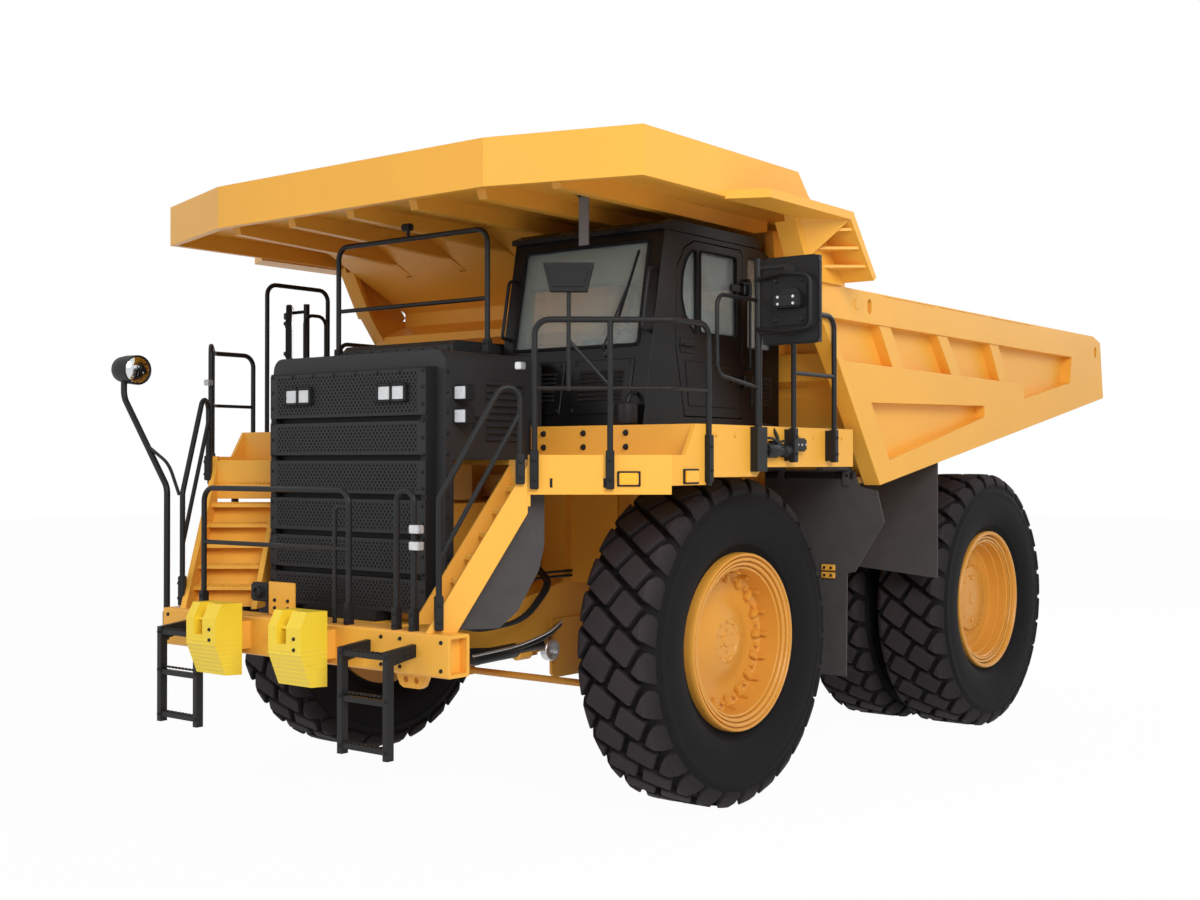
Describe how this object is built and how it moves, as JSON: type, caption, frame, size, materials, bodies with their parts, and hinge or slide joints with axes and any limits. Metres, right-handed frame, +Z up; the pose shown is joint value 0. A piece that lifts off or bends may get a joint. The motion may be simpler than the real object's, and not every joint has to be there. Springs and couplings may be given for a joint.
{
  "type": "mining dump truck",
  "caption": "Rigid mining hauler with a tipping rock bed under a front canopy, left cab, diagonal front stairs, twin rear wheels and steered front wheels.",
  "frame": {"origin": "on the ground under the middle of the truck's overall box", "axes": "+Y towards the tail, +X towards the cab side (the driver's left), +Z up"},
  "size_m": [6.5469, 10.3942, 5.19],
  "materials": {
    "body_yellow": "semi-gloss warm yellow paint",
    "bed_floor_paint": "warm yellow paint, worn by loads",
    "satin_black": "satin black paint",
    "chock_yellow": "bright yellow moulded plastic",
    "drive_grey": "painted castings",
    "rubber_flap": "matt",
    "tyre_rubber": "matt charcoal",
    "window_glass": "tinted, clear",
    "seat_cloth": "woven",
    "dash_plastic": "grained",
    "hoist_barrel_paint": "black paint",
    "hoist_chrome": "polished",
    "lamp_lens": "clear lens"
  },
  "bodies": {
    "chassis": {"bumper_rails": "satin_black", "cab_glass": "window_glass", "cab_roof": "satin_black", "cab_seats": "seat_cloth", "cab_shell": "satin_black", "dashboard": "dash_plastic", "deck_rails": "satin_black", "decks": "body_yellow", "driveline": "drive_grey", "engine": "drive_grey", "frame": "body_yellow", "front_bumper": "body_yellow", "front_fenders": "rubber_flap", "grille": "satin_black", "hood": "satin_black", "hood_rail": "satin_black", "ladders": "satin_black", "lamps": "lamp_lens", "mirrors": "satin_black", "mud_flaps": "rubber_flap", "rear_axle": "body_yellow", "stairs": "body_yellow", "struts": "body_yellow", "tanks": "body_yellow", "wheel_chocks": "chock_yellow"},
    "bed": {"bed_beams": "body_yellow", "bed_canopy": "body_yellow", "bed_flaps": "rubber_flap", "bed_floor": "bed_floor_paint", "bed_headboard": "body_yellow", "bed_sides": "body_yellow", "rock_ejectors": "body_yellow"},
    "door": {"cab_door": "satin_black", "door_glass": "window_glass"},
    "steering_lever": {"steering_lever": "drive_grey"},
    "hoist_barrel_left": {"hoist_barrel_left": "hoist_barrel_paint"},
    "hoist_sleeve_left": {"hoist_sleeve_left": "hoist_chrome"},
    "hoist_rod_left": {"hoist_rod_left": "hoist_chrome"},
    "knuckle_left": {"knuckle_left": "drive_grey"},
    "tie_rod_left": {"tie_rod_left": "drive_grey"},
    "wheel_front_left": {"front_tyre_left": "tyre_rubber", "front_rim_left": "body_yellow"},
    "wheels_rear_left": {"rear_tyres_left": "tyre_rubber", "rear_rims_left": "body_yellow"},
    "hoist_barrel_right": {"hoist_barrel_right": "hoist_barrel_paint"},
    "hoist_sleeve_right": {"hoist_sleeve_right": "hoist_chrome"},
    "hoist_rod_right": {"hoist_rod_right": "hoist_chrome"},
    "knuckle_right": {"knuckle_right": "drive_grey"},
    "tie_rod_right": {"tie_rod_right": "drive_grey"},
    "wheel_front_right": {"front_tyre_right": "tyre_rubber", "front_rim_right": "body_yellow"},
    "wheels_rear_right": {"rear_tyres_right": "tyre_rubber", "rear_rims_right": "body_yellow"}
  },
  "joints": [
    {"name": "bed_tip", "type": "hinge", "parent": "chassis", "child": "bed", "pos_m": [0, 3.523, 2.15], "axis": [-1, 0, 0], "range_deg": [0, 47]},
    {"name": "door_swing", "type": "hinge", "parent": "chassis", "child": "door", "pos_m": [2.105, -1.723, 3.9], "axis": [0, 0, 1], "range_deg": [0, 60]},
    {"name": "hoist_left_swing", "type": "hinge", "parent": "chassis", "child": "hoist_barrel_left", "pos_m": [0.83, 1.123, 1.05], "axis": [-1, 0, 0], "range_deg": [0, 14.8]},
    {"name": "hoist_left_sleeve", "type": "slide", "parent": "hoist_barrel_left", "child": "hoist_sleeve_left", "axis": [0, 0.1029, 0.9947], "range_m": [0, 0.867]},
    {"name": "hoist_left_rod", "type": "slide", "parent": "hoist_sleeve_left", "child": "hoist_rod_left", "axis": [0, 0.1029, 0.9947], "range_m": [0, 0.867]},
    {"name": "hoist_right_swing", "type": "hinge", "parent": "chassis", "child": "hoist_barrel_right", "pos_m": [-0.83, 1.123, 1.05], "axis": [-1, 0, 0], "range_deg": [0, 14.8]},
    {"name": "hoist_right_sleeve", "type": "slide", "parent": "hoist_barrel_right", "child": "hoist_sleeve_right", "axis": [0, 0.1029, 0.9947], "range_m": [0, 0.867]},
    {"name": "hoist_right_rod", "type": "slide", "parent": "hoist_sleeve_right", "child": "hoist_rod_right", "axis": [0, 0.1029, 0.9947], "range_m": [0, 0.867]},
    {"name": "steer_left", "type": "hinge", "parent": "chassis", "child": "knuckle_left", "pos_m": [1.39, -2.227, 1.343], "axis": [0, 0, 1], "range_deg": [-30.5, 30.5]},
    {"name": "steer_right", "type": "hinge", "parent": "chassis", "child": "knuckle_right", "pos_m": [-1.39, -2.227, 1.343], "axis": [0, 0, 1], "range_deg": [-30.6, 30.6]},
    {"name": "lever_turn", "type": "hinge", "parent": "chassis", "child": "steering_lever", "pos_m": [0, -2.227, 1.08], "axis": [0, 0, 1], "range_deg": [-30.6, 30.6]},
    {"name": "tie_rod_left_turn", "type": "hinge", "parent": "steering_lever", "child": "tie_rod_left", "pos_m": [0.09, -3.027, 1.01], "axis": [0, 0, 1], "range_deg": [-30.6, 30.6]},
    {"name": "front_left_spin", "type": "hinge", "parent": "knuckle_left", "child": "wheel_front_left", "pos_m": [2.098, -2.227, 1.343], "axis": [1, 0, 0], "continuous": true},
    {"name": "rear_left_spin", "type": "hinge", "parent": "chassis", "child": "wheels_rear_left", "pos_m": [1.786, 2.333, 1.343], "axis": [1, 0, 0], "continuous": true},
    {"name": "tie_rod_right_turn", "type": "hinge", "parent": "steering_lever", "child": "tie_rod_right", "pos_m": [-0.09, -3.027, 1.01], "axis": [0, 0, 1], "range_deg": [-30.6, 30.6]},
    {"name": "front_right_spin", "type": "hinge", "parent": "knuckle_right", "child": "wheel_front_right", "pos_m": [-2.098, -2.227, 1.343], "axis": [1, 0, 0], "continuous": true},
    {"name": "rear_right_spin", "type": "hinge", "parent": "chassis", "child": "wheels_rear_right", "pos_m": [-1.786, 2.333, 1.343], "axis": [1, 0, 0], "continuous": true}
  ],
  "couplings": [
    {"joint": "hoist_left_swing", "follows": "bed_tip", "ratio": 0.31255},
    {"joint": "hoist_left_sleeve", "follows": "bed_tip", "m_per_rad": 1.0547},
    {"joint": "hoist_left_rod", "follows": "bed_tip", "m_per_rad": 1.0547},
    {"joint": "hoist_right_swing", "follows": "bed_tip", "ratio": 0.31255},
    {"joint": "hoist_right_sleeve", "follows": "bed_tip", "m_per_rad": 1.0547},
    {"joint": "hoist_right_rod", "follows": "bed_tip", "m_per_rad": 1.0547},
    {"joint": "steer_right", "follows": "steer_left", "ratio": 1},
    {"joint": "lever_turn", "follows": "steer_left", "ratio": 1},
    {"joint": "tie_rod_left_turn", "follows": "steer_left", "ratio": -1},
    {"joint": "tie_rod_right_turn", "follows": "steer_left", "ratio": -1}
  ]
}
